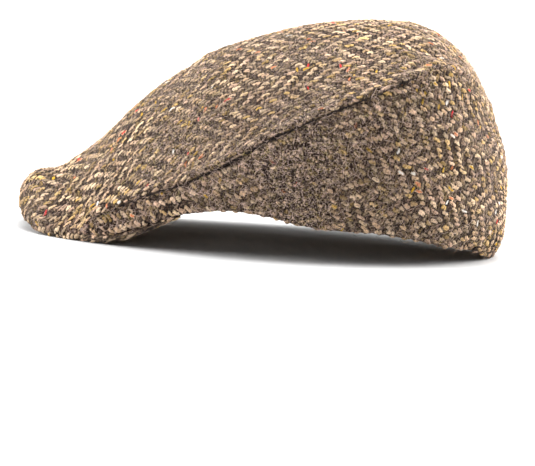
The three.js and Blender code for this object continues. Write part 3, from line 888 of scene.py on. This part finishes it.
class Shader:
    """A material's nodes, each made by one method."""

    def __init__(self, name):
        self.material = bpy.data.materials.new(name)
        self.material.use_nodes = True
        self.tree = self.material.node_tree
        self.surface = self.tree.nodes["Principled BSDF"]

    def node(self, kind, settings, inputs, output=0):
        made = self.tree.nodes.new(kind)
        for key, value in settings.items():
            if key == "stops":
                self.set_stops(made.color_ramp, value)
            else:
                setattr(made, key, value)
        for key, value in inputs.items():
            self.put(made.inputs[key], value)
        return Wire(self, made.outputs[output])

    def set_stops(self, ramp, stops):
        while len(ramp.elements) < len(stops):
            ramp.elements.new(1)
        for element, (place, colour) in zip(ramp.elements, stops):
            element.position = place
            element.color = (*colour, 1)

    def put(self, socket, value):
        if isinstance(value, Wire):
            self.tree.links.new(value.socket, socket)
        elif hasattr(socket.default_value, "__len__") and len(value) == 3 and socket.type == "RGBA":
            socket.default_value = (*value, 1)
        else:
            socket.default_value = value

    def set(self, name, value):
        self.put(self.surface.inputs[name], value)

    def blend(self, share, first, second, way="MIX"):
        settings = {"data_type": "RGBA", "blend_type": way}
        return self.node("ShaderNodeMix", settings, {0: share, 6: first, 7: second}, 2)

    def between(self, share, first, second):
        return self.node("ShaderNodeMix", {"data_type": "FLOAT"}, {0: share, 2: first, 3: second})

    def vector(self, x, y, z):
        return self.node("ShaderNodeCombineXYZ", {}, {0: x, 1: y, 2: z})

    def part(self, vector, axis):
        return self.node("ShaderNodeSeparateXYZ", {}, {0: vector}, axis)

    def grey(self, value):
        return self.node("ShaderNodeCombineColor", {}, {0: value, 1: value, 2: value})

    def ramp(self, value, look, stops):
        """Colours of the look, named at places from 0 to 1."""
        stops = [(place, getattr(look, colour)) for place, colour in stops]
        return self.node("ShaderNodeValToRGB", {"stops": stops}, {0: value})

    def random(self, vector, output="Value"):
        settings = {"noise_dimensions": "3D"}
        return self.node("ShaderNodeTexWhiteNoise", settings, {"Vector": vector}, output)

    def noise(self, vector, scale, detail, roughness, output=0):
        inputs = {"Vector": vector, "Scale": scale, "Detail": detail, "Roughness": roughness}
        return self.node("ShaderNodeTexNoise", {"noise_dimensions": "3D"}, inputs, output)


# Noises of the look: scale, detail and roughness, first over threads, then over the piece in metres
STRAY_NOISE = (2.3, 3, 0.65)
MARL_NOISE = (1.15, 3, 0.75)
GRAIN_NOISE = (760, 3, 0.7)
PATCH_NOISE = (30, 2, 0.5)
WOOL_NOISE = (150, 1, 0.5)
FIBRE_DETAIL = (1.5, 0.6)


class Weave:
    """The herringbone's threads as wires: which yarn shows, where on it, and how high it stands."""

    def __init__(self, shader, ragged):
        cloth = shader.node("ShaderNodeUVMap", {"uv_map": CLOTH_MAP}, {})
        stray = shader.noise(cloth, *STRAY_NOISE, output=1)
        u = shader.part(cloth, 0) + (shader.part(stray, 0) - 0.5) * ragged
        v = shader.part(cloth, 1) + (shader.part(stray, 1) - 0.5) * ragged
        i, j = u.floor(), v.floor()
        fu, fv = u - i, v - j
        odd = (u / COLUMN_THREADS).floor() % 2
        folded = (i + 0.5).math("PINGPONG", COLUMN_THREADS).floor()
        phase = (folded + j + odd * 2) % REPEAT
        self.warp = phase < FLOAT - 0.5
        back = odd * (1 - fu * 2) + fu
        along_warp = (phase + fv) / FLOAT
        along_weft = (phase - FLOAT + back) / FLOAT
        self.along = shader.between(self.warp, along_weft, along_warp)
        across_warp, across_weft = fu * 2 - 1, fv * 2 - 1
        self.across = shader.between(self.warp, across_weft, across_warp)
        ends = self.along * 2 - 1
        self.out = (self.across * self.across + ends * ends * ends * ends).math("SQRT")
        self.height = (1 - self.out * self.out).math("MAXIMUM", 0).math("SQRT")
        start_i = i - (1 - self.warp) * (phase - FLOAT) * (1 - odd * 2)
        start_j = j - self.warp * phase
        self.number = shader.vector(start_i, start_j, self.warp)
        self.turned_number = shader.vector(start_j, start_i, self.warp + 5)
        self.thread = shader.between(self.warp, j, i)
        self.run = shader.between(self.warp, u, v)


# How the look's colours follow its noises
PLY_TURN = (5.7, 1.6, 2.4)      # how the marl shifts from thread to thread, across a yarn and along it
MARL_STRETCH = 0.9              # how far apart its streaks are along a yarn
WARP_SHIFT = 3.1                # sets the warp's marl apart from the weft's
WARP_MARL = (0.56, 9)           # start and slope of the dark fibres in the warp
WEFT_MARL = (0.48, 7)           # start and slope of the light fibres in the weft
WEFT_LIGHT = 0.9                # how light they make it
YARN_SPREAD = 0.3               # how much single yarns differ in their share of light fibres
YARN_SHADE = (0.8, 0.55)        # range and least of a yarn's brightness
FLEECE = (4.4, -1.2, 0.1, 1.08)     # brightness from grain: slope, offset, least and most
# Painted shade between the floats: grain's share in its edge, then that edge's start and slope
HOLLOW_GRAIN = 1.8
HOLLOW_EDGE = (0.7, 4)
FLECK_REACH = 0.6               # how far over a float its fleck spreads
FLECK_EDGE = (6, 5)             # sharpness of that edge, and share of the grain in it
SEEN_UP = 1.6                   # how heights count in the distance from the middle of the napped patch with painted shade
NAP_AND_SHADE_REACH = 1.4
# how far that patch is painted towards its shade colour: painted shade just below the seam
PAINTED_SHADE_SHARE = 0.34
NAP = (2.4, 0.25, 0.65)         # nap from patches, everywhere, and on the napped patch with painted shade
BUMP_GRAIN = 2.2
BUMP_DEPTH = 0.5 * MM

# Colours of the look by place from 0 to 1
LIGHT_YARNS = ((0.0, "tan"), (0.3, "beige"), (0.5, "pink"), (0.7, "tan"), (0.86, "ochre"), (1.0, "beige"))
DARK_YARNS = ((0.0, "dark"), (0.4, "brown"), (0.7, "dark"), (1.0, "moss"))
LOOSE_WOOL = ((0.0, "shadow"), (0.4, "dark"), (0.47, "fibre"), (0.6, "fibre"), (0.7, "straw"))

# Coloured floats: the lots, from 0 to 1, that each colour is drawn by
FLECKS = ((0.0, 0.006, "red"), (0.1, 0.104, "white"), (0.2, 0.212, "mustard"), (0.3, 0.31, "orange"))

# Layers of loose fibres in the look, the shadow layers being curly lines of painted shade between them:
# noise scale, line width, seed, strength and colour
FIBRE_LAYERS = (
    (430, 0.16, 1.3, 0.9, "shadow"),
    (400, 0.035, 0.0, 0.75, "fibre"),
    (560, 0.035, 0.7, 0.45, "fibre"),
    (330, 0.02, 2.9, 0.55, "straw"),
    (360, 0.07, 5.1, 0.95, "shadow"),
)


def fibre_lines(shader, place, scale, width, seed):
    """Mask of thin curly lines: the contour of a noise."""
    spot = shader.node("ShaderNodeVectorMath", {"operation": "ADD"}, {0: place, 1: (seed, seed, seed)})
    height = shader.noise(spot, scale, *FIBRE_DETAIL)
    return (1 - abs(height - 0.5) * (1 / width)).clamped()


def yarns(shader, weave, look, shade):
    """Light warp and dark weft, each with fibres of the other drawn out along its yarns."""
    tone = shader.random(weave.number)
    light = shader.ramp(tone, look, LIGHT_YARNS)
    dark = shader.ramp(tone, look, DARK_YARNS)
    by_thread, by_width, by_length = PLY_TURN
    ply = weave.thread * by_thread + weave.across * by_width + weave.along * by_length
    spot = shader.vector(weave.run * MARL_STRETCH, ply, weave.warp * WARP_SHIFT)
    marl = shader.noise(spot, *MARL_NOISE)
    weft = marl.rising(*WEFT_MARL) * look.marl * WEFT_LIGHT
    warp = 1 - marl.rising(*WARP_MARL) * look.marl
    yarn = shader.between(weave.warp, weft, warp) + (shade - 0.5) * YARN_SPREAD
    return shader.blend(yarn.clamped(), dark, light)


def flecked(shader, weave, look, colour, grain):
    """The colour with a coloured fleck on a few of its floats."""
    lot = shader.random(weave.number, "Color")
    lot = shader.node("ShaderNodeSeparateColor", {}, {0: lot}, 1)
    sharpness, graininess = FLECK_EDGE
    grainy = ((FLECK_REACH - weave.out) * sharpness + (grain - 0.5) * graininess).clamped()
    for first, last, tint in FLECKS:
        chosen = (lot > first) * (lot < last)
        colour = shader.blend(chosen * grainy, colour, getattr(look, tint))
    return colour


def nap_and_shade(shader, place, look, colour):
    """The colour under loose fibres and curly lines of painted shade, most of them on a patch of the side
    panels just below the seam, which is also painted darker as shade under the crown's overhang.
    """
    patch = shader.noise(place, *PATCH_NOISE)
    from_side = shader.vector(shader.part(place, 0), shader.part(place, 2) * SEEN_UP, 0.0)
    ends = {0: from_side, 1: look.nap_and_shade}
    away = shader.node("ShaderNodeVectorMath", {"operation": "DISTANCE"}, ends, 1)
    napped_and_shaded = (NAP_AND_SHADE_REACH - away * (1 / look.nap_and_shade_reach)).clamped()
    patchy, everywhere, more = NAP
    nap = ((patch - 0.5) * patchy + everywhere + napped_and_shaded * more).clamped()
    # painted shade on the patch just below the seam, where the crown overhangs the side panels
    colour = shader.blend(napped_and_shaded * PAINTED_SHADE_SHARE, colour, look.painted_patch_shade)
    for scale, width, seed, share, tint in FIBRE_LAYERS:
        lines = fibre_lines(shader, place, scale, width, seed)
        colour = shader.blend(lines * nap * share, colour, getattr(look, tint))
    return colour


def tweed(name, look):
    """Marled yarns in herringbone twill, with shaded hollows, loose fibres and coloured flecks."""
    shader = Shader(name)
    weave = Weave(shader, look.ragged)
    place = shader.node("ShaderNodeTexCoord", {}, {}, "Object")
    grain = shader.noise(place, *GRAIN_NOISE)
    shade = shader.random(weave.turned_number)
    colour = yarns(shader, weave, look, shade)
    slope, offset, least, most = FLEECE
    fleece = (grain * slope + offset).math("MAXIMUM", least).math("MINIMUM", most)
    colour = shader.blend(1.0, colour, shader.grey(fleece), "MULTIPLY")
    reach, floor = YARN_SHADE
    colour = shader.blend(1.0, colour, shader.grey(shade * reach + floor), "MULTIPLY")
    # painted shade in the hollows between the floats
    hollow = (weave.out + (0.5 - grain) * HOLLOW_GRAIN).rising(*HOLLOW_EDGE)
    colour = shader.blend(hollow * look.hollow, colour, look.shadow)
    colour = flecked(shader, weave, look, colour, grain)
    colour = nap_and_shade(shader, place, look, colour)
    # painted shade down in the seams, from the mesh's mask
    sunk = shader.node("ShaderNodeAttribute", {"attribute_name": SEAM_SHADE_ATTRIBUTE}, {}, "Fac")
    colour = shader.blend(sunk * look.seam_shade, colour, look.shadow)
    shader.set("Base Color", colour)
    shader.set("Roughness", 0.95)
    shader.set("Specular IOR Level", 0.05)
    shader.set("Sheen Weight", look.sheen)
    shader.set("Sheen Roughness", 0.5)
    raised = weave.height + grain * BUMP_GRAIN
    bump = {"Strength": look.bump, "Distance": BUMP_DEPTH, "Height": raised}
    shader.set("Normal", shader.node("ShaderNodeBump", {}, bump))
    return shader.material


def wool(name, look):
    """Loose fibres, mostly light grey with some straw and dark ones."""
    shader = Shader(name)
    place = shader.node("ShaderNodeTexCoord", {}, {}, "Object")
    shader.set("Base Color", shader.ramp(shader.noise(place, *WOOL_NOISE), look, LOOSE_WOOL))
    shader.set("Roughness", 0.8)
    return shader.material


def length_property(name, description, default):
    return bpy.props.FloatProperty(name=name, description=description, default=default, unit="LENGTH")


def angle_property(name, description, degrees):
    return bpy.props.FloatProperty(
        name=name, description=description, default=math.radians(degrees), subtype="ANGLE")


def plain_property(name, description, default):
    return bpy.props.FloatProperty(name=name, description=description, default=default)


def place_property(name, description, default):
    return bpy.props.FloatVectorProperty(
        name=name, description=description, default=default, subtype="TRANSLATION")


def colour_property(name, description, shade):
    return bpy.props.FloatVectorProperty(
        name=name, description=description, subtype="COLOR", min=0, max=1, default=srgb(*shade))


class CapSizes(bpy.types.PropertyGroup):
    """Sizes of the cap, read from its frame."""

    length: length_property("Length", "Front edge of the peak to the back", CAD_HIGH.x - CAD_LOW.x)
    width: length_property("Width", "Widest place, across the cap", CAD_HIGH.y - CAD_LOW.y)
    height: length_property("Height", "Resting plane to the top of the crown", CAD_HIGH.z - CAD_LOW.z)
    wall: length_property("Cloth", "Thickness of the cloth with its backing", 2.6 * MM)
    hem_fold: length_property("Hem fold", "Extra thickness of the hem", 1.4 * MM)
    gap: length_property("Gap", "Clearance between pieces", 0.3 * MM)
    roll: length_property("Seam roll", "How far the turned-in edge stands proud", 2.3 * MM)
    edge_round: length_property("Edge round", "Radius of the turned-in edges", 1.4 * MM)
    peak_reach: length_property("Peak reach", "Front edge to the head opening", 56 * MM)
    peak_height: length_property(
        "Peak height", "Resting plane to the peak at the head opening", 36.5 * MM)
    peak_thickness: length_property("Peak thickness", "Thickness of the peak's edge", 4.6 * MM)
    edge_seat: length_property("Peak rim", "Flat rim that the panels stand on", 5.2 * MM)
    thread: length_property("Thread", "Distance between threads of the weave", 2.44 * MM)
    bias: angle_property("Bias", "Slope of the side panels' columns", 25)
    relief: length_property("Twill relief", "Height of the twill's ridges", 0.25 * MM)
    float_relief: length_property("Float relief", "Height of single yarns", 0.65 * MM)
    lumps: length_property("Lumps", "Unevenness of the yarn", 0.28 * MM)
    sway: plain_property("Sway", "How far the yarns stray over a few threads, in threads", 0.5)
    wander: plain_property("Wander", "How far the yarns stray over a few columns, in threads", 1.2)


class TweedLook(bpy.types.PropertyGroup):
    """Colours and finish of the tweed."""

    tan: colour_property("Tan", "Tan of the light yarns", (207, 173, 137))
    beige: colour_property("Beige", "Beige of the light yarns", (221, 194, 161))
    pink: colour_property("Pink", "Pinkish light yarns", (213, 178, 152))
    ochre: colour_property("Ochre", "Ochre light yarns", (208, 171, 104))
    dark: colour_property("Charcoal", "Charcoal of the dark yarns", (38, 27, 26))
    brown: colour_property("Brown", "Brown of the dark yarns", (60, 42, 37))
    moss: colour_property("Moss", "Grey-green of the dark yarns", (52, 41, 36))
    shadow: colour_property("Hollows", "Shade between the yarns", (22, 15, 15))
    red: colour_property("Red", "Red flecks", (214, 40, 48))
    white: colour_property("White", "White flecks", (245, 240, 232))
    mustard: colour_property("Mustard", "Mustard flecks", (204, 160, 44))
    orange: colour_property("Orange", "Orange flecks", (214, 128, 84))
    fibre: colour_property("Fibre", "Light grey loose fibres", (214, 186, 172))
    straw: colour_property("Straw", "Straw-coloured loose fibres", (206, 184, 122))
    # painted shade of the napped patch just below the seam
    painted_patch_shade: colour_property("Napped", "Shade of the rubbed cloth", (50, 37, 34))
    nap_and_shade: place_property(
        "Rubbed place", "Middle of the rubbed cloth, as back and 1.6 times up", (18 * MM, 93 * MM, 0))
    nap_and_shade_reach: length_property("Rubbed reach", "How far the rubbed cloth spreads", 58 * MM)
    marl: plain_property("Marl", "Strength of a yarn's other fibres", 0.7)
    hollow: plain_property("Hollow", "Darkness between the yarns", 0.95)
    seam_shade: plain_property("Seam shade", "Darkness down in the seams", 0.9)
    bump: plain_property("Bump", "Strength of the fine relief", 0.9)
    ragged: plain_property("Ragged", "Unevenness of the yarns' edges", 0.8)
    sheen: plain_property("Sheen", "Glow of the nap at grazing angles", 0.06)


class StudioLook(bpy.types.PropertyGroup):
    """Camera angle and picture."""

    elevation: angle_property("Elevation", "Camera above the horizon", 7)
    roll: angle_property("Roll", "Turn of the picture", 4)
    lens: plain_property("Lens", "Focal length in millimetres", 500)
    view_width: length_property("View width", "Width of the picture at the cap", 303.3 * MM)
    target: place_property("Target", "Middle of the picture", (3.857 * MM, 0, 4.291 * MM))


def settings():
    return bpy.context.scene.tweed_cap


FINISHES = {"herringbone_tweed": tweed, "loose_wool": wool}
SHEET_STEPS = 81                # places along each side where a sheet's flat size is measured


def place_piece(name, mesh, finish, slot, *nodes):
    """The mesh as a piece of the scene in one of the finishes, in place of the nodes it stands for."""
    material = bpy.data.materials.get(finish) or FINISHES[finish](finish, settings().look)
    mesh.materials.append(material)
    piece = bpy.data.objects.new(name, mesh)
    bpy.context.scene.collection.objects.link(piece)
    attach(piece, "root")
    if nodes:
        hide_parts(*nodes)
    return piece


def declare_sheet(panel, bias):
    """Measures a panel's cloth along and across its length over a grid; the sizes are worked out and then
    dropped, not stated.
    """
    steps = np.linspace(-1, 1, SHEET_STEPS)
    places = np.stack(np.meshgrid(steps, steps, indexing="ij"), -1)
    cloth = panel.cloth(places.reshape(-1, 2)).reshape(places.shape) * panel.cut.sizes.thread
    along = cloth[..., 1] * math.cos(bias) + cloth[..., 0] * math.sin(bias)
    across = cloth[..., 0] * math.cos(bias) - cloth[..., 1] * math.sin(bias)


class CAP_OT_top_panel(bpy.types.Operator):
    """Build the top panel, from the front edge of the peak to the back of the crown"""

    bl_idname = "tweed_cap.top_panel"
    bl_label = "Top panel"

    def execute(self, context):
        panel = TopPanel(CapCut(settings().sizes))
        mesh = cloth_mesh("top_panel_cloth", panel)
        piece = place_piece("top_panel_cloth", mesh, "herringbone_tweed", "tweed", "crown_top")
        declare_sheet(panel, 0)
        return {"FINISHED"}


class CAP_OT_side_panels(bpy.types.Operator):
    """Build the two side panels with their hems"""

    bl_idname = "tweed_cap.side_panels"
    bl_label = "Side panels"

    def execute(self, context):
        panel = SidePanel(CapCut(settings().sizes))
        for side, node in ((1, "side_panel_right"), (-1, "side_panel_left")):
            mesh = cloth_mesh(f"{node}_cloth", panel, side)
            piece = place_piece(f"{node}_cloth", mesh, "herringbone_tweed", "tweed", node)
            declare_sheet(panel, panel.cut.sizes.bias)
        return {"FINISHED"}


class CAP_OT_peak(bpy.types.Operator):
    """Build the cloth-covered peak"""

    bl_idname = "tweed_cap.peak"
    bl_label = "Peak"

    def execute(self, context):
        mesh = peak_mesh("peak_cloth", Peak(CapCut(settings().sizes)))
        place_piece("peak_cloth", mesh, "herringbone_tweed", "tweed_peak", "peak")
        return {"FINISHED"}


class CAP_OT_fibres(bpy.types.Operator):
    """Scatter the loose fibres of the nap over the cloth"""

    bl_idname = "tweed_cap.fibres"
    bl_label = "Fibres"

    SEED = 11
    SIDES = 3
    STEPS = 4
    LENGTH = (3 * MM, 8 * MM)
    RADIUS = 0.075 * MM
    LIFT = (0.2 * MM, 0.8 * MM)
    SINK = 0.25 * MM
    CURL = 2.6                      # greatest turn over a fibre's length
    PEAK_OUTER = 0.2                # the peak's fibres root where its face is less upward than this
    COUNTS = (
        ("top_panel_cloth", 2800),
        ("side_panel_left_cloth", 1700),
        ("side_panel_right_cloth", 1700),
        ("peak_cloth", 400),
    )

    def execute(self, context):
        rng = np.random.default_rng(self.SEED)
        picked = [self.roots(rng, name, count) for name, count in self.COUNTS]
        roots, outward = (np.concatenate(parts) for parts in zip(*picked))
        mesh = self.tubes(rng, roots, outward)
        place_piece("loose_fibres", mesh, "loose_wool", "tweed")
        return {"FINISHED"}

    def roots(self, rng, name, count):
        """Places on a piece's outer face, with the way out of it."""
        piece = bpy.data.objects.get(name)
        if piece is None:
            raise RuntimeError(f"{name} has to be built before its fibres")
        mesh = piece.data
        places = np.empty(3 * len(mesh.vertices), np.float32)
        mesh.vertices.foreach_get("co", places)
        places = places.reshape(-1, 3)
        normals = np.array([vert.vector[:] for vert in mesh.vertex_normals])
        outer = ((places - places.mean(0)) * normals).sum(1) > 0
        if name == "peak_cloth":
            outer = normals[:, 2] < self.PEAK_OUTER
        chosen = rng.choice(np.flatnonzero(outer), count, replace=False)
        return places[chosen], normals[chosen]

    def tubes(self, rng, roots, outward):
        """One mesh of thin curved tubes that rise from their roots and sink back."""
        count = len(roots)
        aside = unit(np.cross(outward, rng.normal(size=(count, 3))))
        ahead = np.cross(aside, outward)
        length = rng.uniform(*self.LENGTH, count)
        curl = rng.uniform(-self.CURL, self.CURL, count)
        lift = rng.uniform(*self.LIFT, count)
        point = roots - ahead * (length / 2)[:, None]
        rings = []
        for step in range(self.STEPS + 1):
            share = step / self.STEPS
            angle = curl * (share - 0.5)
            heading = ahead * np.cos(angle)[:, None] + aside * np.sin(angle)[:, None]
            rise = math.sin(math.pi * share)
            middle = point + outward * (lift * rise - self.SINK * (1 - rise))[:, None]
            beside = np.cross(heading, outward)
            for side in range(self.SIDES):
                turn = 2 * math.pi * side / self.SIDES
                spoke = outward * math.cos(turn) + beside * math.sin(turn)
                rings.append(middle + spoke * self.RADIUS)
            point = point + heading * (length / self.STEPS)[:, None]
        verts = np.stack(rings, 1)
        verts = verts[verts[:, :, 2].min(1) > 0]
        starts = (np.arange(len(verts)) * verts.shape[1])[:, None, None]
        quads, caps = self.tube_faces()
        polygons = (quads + starts).reshape(-1, 4).tolist()
        polygons += (caps + starts).reshape(-1, self.SIDES).tolist()
        mesh = bpy.data.meshes.new("loose_fibres")
        mesh.from_pydata(verts.reshape(-1, 3).tolist(), [], polygons)
        return mesh

    def tube_faces(self):
        """The sides and the two ends of one tube."""
        around = np.arange(self.SIDES)
        beyond = (around + 1) % self.SIDES
        ring = np.stack([around, beyond, beyond + self.SIDES, around + self.SIDES], -1)
        quads = np.concatenate([ring + step * self.SIDES for step in range(self.STEPS)])
        caps = np.stack([around[::-1], self.STEPS * self.SIDES + around])
        return quads, caps


class CAP_OT_stage(bpy.types.Operator):
    """Set up the floor, the lights and the camera"""

    bl_idname = "tweed_cap.stage"
    bl_label = "Stage"

    FLOOR_HALF = 6                  # metres
    FLOOR_GREY = (0.62, 0.62, 0.62)
    SKY_STRENGTH = 0.16
    # Suns: name, heading from behind the camera, height, spread and strength, angles in degrees
    SUNS = (
        ("top_light", 180, 70, 60, 5.4),
        ("left_light", 275, 30, 50, 3.9),
        ("right_light", 115, 24, 40, 6.6),
        ("fill_light", 350, 9, 30, 0.5),
    )
    CLIP = (0.1, 100)               # metres

    def execute(self, context):
        self.floor()
        self.lights()
        self.camera(settings().studio)
        return {"FINISHED"}

    def floor(self):
        bm = bmesh.new()
        bmesh.ops.create_grid(bm, x_segments=1, y_segments=1, size=self.FLOOR_HALF)
        mesh = bpy.data.meshes.new("floor")
        bm.to_mesh(mesh)
        bm.free()
        shader = Shader("floor_paper")
        shader.set("Base Color", self.FLOOR_GREY)
        shader.set("Roughness", 0.9)
        mesh.materials.append(shader.material)
        floor = bpy.data.objects.new("floor", mesh)
        bpy.context.scene.collection.objects.link(floor)

    def lights(self):
        scene = bpy.context.scene
        scene.view_settings.view_transform = "Standard"
        scene.world = bpy.data.worlds.new("studio")
        scene.world.use_nodes = True
        background = scene.world.node_tree.nodes["Background"]
        background.inputs["Color"].default_value = (1, 1, 1, 1)
        background.inputs["Strength"].default_value = self.SKY_STRENGTH
        for name, heading, height, spread, strength in self.SUNS:
            data = bpy.data.lights.new(name, "SUN")
            data.angle = math.radians(spread)
            data.energy = strength
            lamp = bpy.data.objects.new(name, data)
            bearing, rise = math.radians(heading), math.radians(height)
            level = math.cos(rise)
            place = Vector((math.sin(bearing) * level, -math.cos(bearing) * level, math.sin(rise)))
            lamp.rotation_euler = place.to_track_quat("Z", "Y").to_euler()
            lamp.location = place
            scene.collection.objects.link(lamp)

    def camera(self, studio):
        data = bpy.data.cameras.new("camera")
        data.lens = studio.lens
        data.clip_start, data.clip_end = self.CLIP
        camera = bpy.data.objects.new("camera", data)
        bpy.context.scene.collection.objects.link(camera)
        distance = studio.view_width * data.lens / data.sensor_width
        up = Vector((0, math.sin(studio.elevation), math.cos(studio.elevation)))
        back = Vector((0, -math.cos(studio.elevation), math.sin(studio.elevation)))
        side = Vector((1, 0, 0))
        right = side * math.cos(studio.roll) + up * math.sin(studio.roll)
        head = up * math.cos(studio.roll) - side * math.sin(studio.roll)
        turn = Matrix((right, head, back)).transposed().to_4x4()
        camera.matrix_world = Matrix.Translation(Vector(studio.target) + back * distance) @ turn
        bpy.context.scene.camera = camera


class TweedCapSettings(bpy.types.PropertyGroup):
    """All that the sidebar shows."""

    sizes: bpy.props.PointerProperty(type=CapSizes)
    look: bpy.props.PointerProperty(type=TweedLook)
    studio: bpy.props.PointerProperty(type=StudioLook)


OPERATORS = (CAP_OT_top_panel, CAP_OT_side_panels, CAP_OT_peak, CAP_OT_fibres, CAP_OT_stage)


class CAP_PT_sidebar(bpy.types.Panel):
    """The cap's sizes, looks and pieces"""

    bl_idname = "CAP_PT_sidebar"
    bl_label = "Tweed Cap"
    bl_space_type = "VIEW_3D"
    bl_region_type = "UI"
    bl_category = "Tweed Cap"

    def draw(self, context):
        cap = context.scene.tweed_cap
        for group in (cap.sizes, cap.look, cap.studio):
            box = self.layout.box()
            for name in type(group).__annotations__:
                box.prop(group, name)
        for operator in OPERATORS:
            self.layout.operator(operator.bl_idname)


CLASSES = (CapSizes, TweedLook, StudioLook, TweedCapSettings, *OPERATORS, CAP_PT_sidebar)


def register():
    for kind in CLASSES:
        bpy.utils.register_class(kind)
    bpy.types.Scene.tweed_cap = bpy.props.PointerProperty(type=TweedCapSettings)


def unregister():
    del bpy.types.Scene.tweed_cap
    for kind in reversed(CLASSES):
        bpy.utils.unregister_class(kind)


def main():
    register()
    bpy.ops.tweed_cap.top_panel()
    bpy.ops.tweed_cap.side_panels()
    bpy.ops.tweed_cap.peak()
    bpy.ops.tweed_cap.fibres()
    bpy.ops.tweed_cap.stage()


if __name__ == "__main__":
    main()
